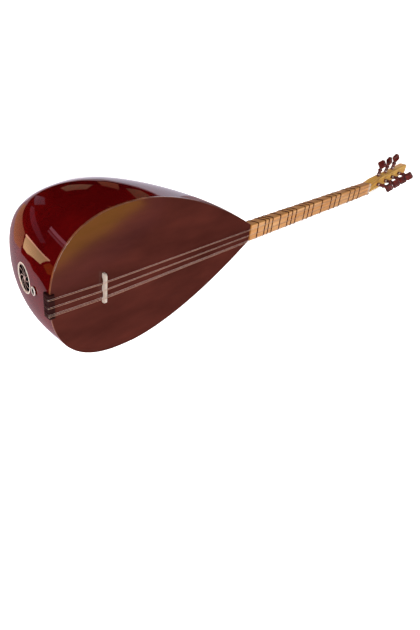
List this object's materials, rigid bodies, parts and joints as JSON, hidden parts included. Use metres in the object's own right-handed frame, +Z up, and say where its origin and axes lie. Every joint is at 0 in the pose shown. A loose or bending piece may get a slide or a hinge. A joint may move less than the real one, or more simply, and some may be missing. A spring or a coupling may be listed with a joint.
{
  "type": "short-neck baglama",
  "caption": "Long-necked lute with a deep round-backed bowl, flat soundboard, tied frets, bent-back peghead and friction tuning pegs, lying on its back.",
  "frame": {"origin": "centre of the bounding box on the surface that the instrument lies on", "axes": "+X runs from the tail to the peghead, +Y to the side that the side pegs are on, +Z up out of the soundboard; the soundboard leans 10 degrees down towards the neck, because the bowl's back and the peghead's end stand on the surface"},
  "size_m": [1.0204, 0.2526, 0.2236],
  "materials": {
    "bowl_lacquer": "dark wine-red wood under a deep gloss lacquer",
    "board_lacquer": "reddish-brown soundboard under satin gloss lacquer",
    "spruce": "bare planed spruce",
    "neck_wood": "honey-coloured hornbeam, satin lacquer",
    "peg_wood": "dark red-brown stained and polished hardwood",
    "pale_wood": "pale sawn hardwood, lightly polished",
    "bone": "off-white bone, smooth filed",
    "ebony": "dark brown hardwood",
    "fret_line": "dark brown nylon line wound in turns",
    "steel": "drawn music wire",
    "nickel": "nickel plate",
    "brass": "thin rolled brass",
    "lead_cover": "black insulation"
  },
  "bodies": {
    "instrument": {"bowl": "bowl_lacquer", "soundboard": "board_lacquer", "soundboard_brace_1": "spruce", "soundboard_brace_2": "spruce", "neck": "neck_wood", "peghead": "neck_wood", "nut": "bone", "bridge": "bone", "tail_strip": "ebony", "sound_hole_ring": "bone", "sound_hole_lattice": "pale_wood", "jack_socket": "nickel", "jack_nut": "nickel", "pickup_disc": "brass", "pickup_lead": "lead_cover", "fret_01": "fret_line", "fret_02": "fret_line", "fret_03": "fret_line", "fret_04": "fret_line", "fret_05": "fret_line", "fret_06": "fret_line", "fret_07": "fret_line", "fret_08": "fret_line", "fret_09": "fret_line", "fret_10": "fret_line", "fret_11": "fret_line", "fret_12": "fret_line", "fret_13": "fret_line", "fret_14": "fret_line", "fret_15": "fret_line", "fret_16": "fret_line", "fret_17": "fret_line", "fret_18": "fret_line", "string_1": "steel", "string_2": "steel", "string_3": "steel", "string_4": "steel", "string_5": "steel", "string_6": "steel", "string_7": "steel"},
    "front_peg_1": {"front_peg_1": "peg_wood", "front_winding_1": "steel"},
    "front_peg_2": {"front_peg_2": "peg_wood", "front_winding_2": "steel"},
    "front_peg_3": {"front_peg_3": "peg_wood", "front_winding_3": "steel"},
    "front_peg_4": {"front_peg_4": "peg_wood", "front_winding_4": "steel"},
    "side_peg_1": {"side_peg_1": "peg_wood", "side_winding_1": "steel"},
    "side_peg_2": {"side_peg_2": "peg_wood", "side_winding_2": "steel"},
    "side_peg_3": {"side_peg_3": "peg_wood", "side_winding_3": "steel"}
  },
  "joints": [
    {"name": "front_peg_1_turn", "type": "hinge", "parent": "instrument", "child": "front_peg_1", "pos_m": [0.34289, 0, 0.06592], "axis": [0.445, 0, 0.8955], "continuous": true},
    {"name": "front_peg_2_turn", "type": "hinge", "parent": "instrument", "child": "front_peg_2", "pos_m": [0.38078, 0, 0.05475], "axis": [0.445, 0, 0.8955], "continuous": true},
    {"name": "front_peg_3_turn", "type": "hinge", "parent": "instrument", "child": "front_peg_3", "pos_m": [0.41867, 0, 0.04358], "axis": [0.445, 0, 0.8955], "continuous": true},
    {"name": "front_peg_4_turn", "type": "hinge", "parent": "instrument", "child": "front_peg_4", "pos_m": [0.45655, 0, 0.03241], "axis": [0.445, 0, 0.8955], "continuous": true},
    {"name": "side_peg_1_turn", "type": "hinge", "parent": "instrument", "child": "side_peg_1", "pos_m": [0.35883, 0.01149, 0.05014], "axis": [0.1666, 0.9848, -0.0491], "continuous": true},
    {"name": "side_peg_2_turn", "type": "hinge", "parent": "instrument", "child": "side_peg_2", "pos_m": [0.39678, 0.01119, 0.03918], "axis": [0.1666, 0.9848, -0.0491], "continuous": true},
    {"name": "side_peg_3_turn", "type": "hinge", "parent": "instrument", "child": "side_peg_3", "pos_m": [0.43473, 0.0109, 0.02823], "axis": [0.1666, 0.9848, -0.0491], "continuous": true}
  ]
}
